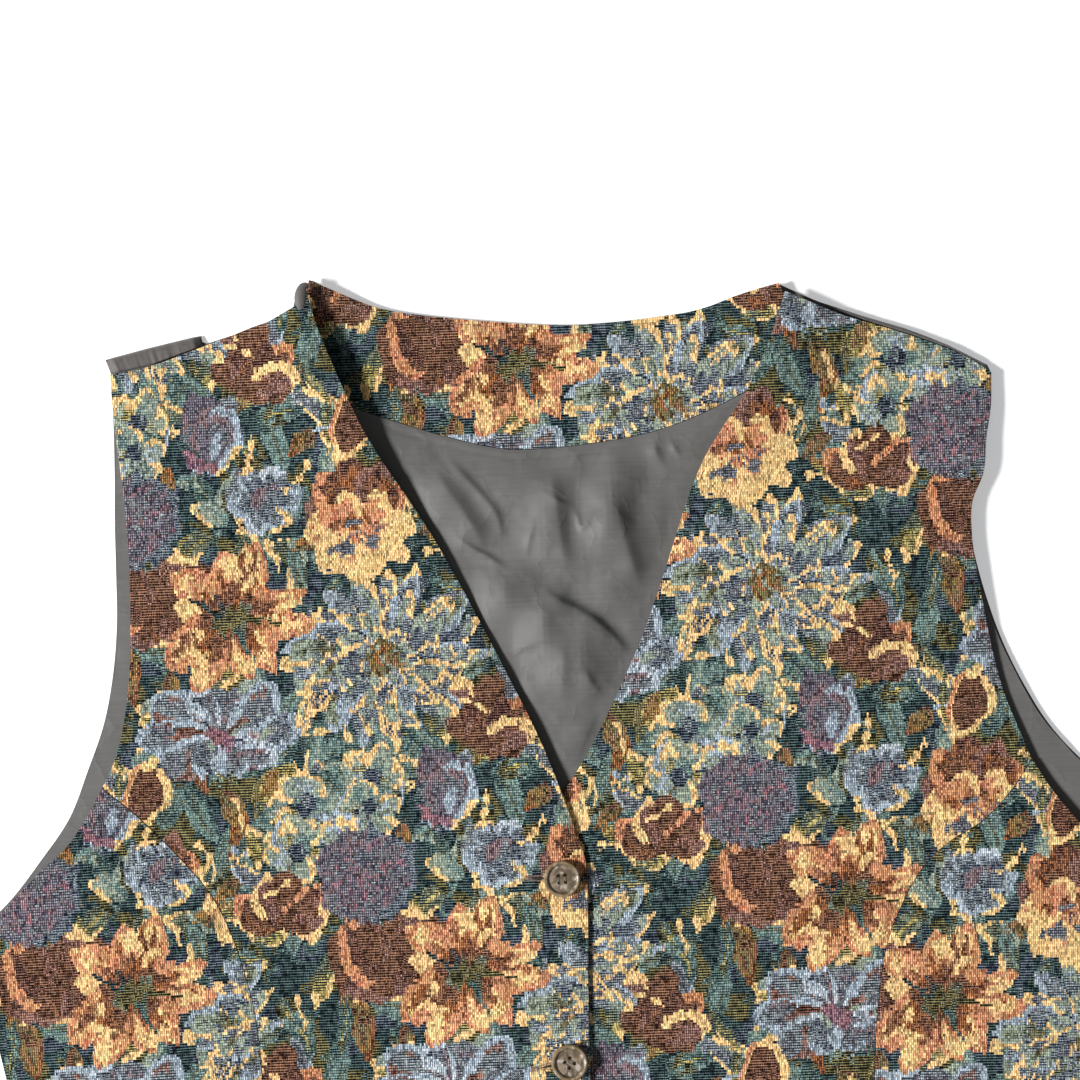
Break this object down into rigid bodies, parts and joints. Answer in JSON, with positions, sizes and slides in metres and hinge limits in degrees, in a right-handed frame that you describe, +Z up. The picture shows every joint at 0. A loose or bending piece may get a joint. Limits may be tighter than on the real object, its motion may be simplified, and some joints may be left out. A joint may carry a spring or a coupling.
{
  "type": "waistcoat",
  "caption": "V-necked floral tapestry waistcoat with princess seams and a satin back, buttoned and laid flat, front up",
  "frame": {"origin": "on the surface that the waistcoat lies on, under the middle of its outline", "axes": "+X towards the wearer's left, +Y towards the neck, +Z up out of the front"},
  "size_m": [0.486, 0.5572, 0.0123],
  "materials": {
    "tapestry": "floral jacquard tapestry weave with raised ribs, matt",
    "satin_back": "grey satin with a low sheen",
    "satin_lining": "thin grey satin, creased, with a soft sheen",
    "button_horn": "horn-look button, mottled brown, semi-gloss"
  },
  "bodies": {
    "root": {"back": "satin_back", "back_lining": "satin_lining", "back_neck_facing": "tapestry", "front_right": "tapestry", "front_right_side": "tapestry", "front_left": "tapestry", "front_left_side": "tapestry", "button_1": "button_horn", "button_2": "button_horn", "button_3": "button_horn", "button_4": "button_horn"}
  },
  "joints": []
}
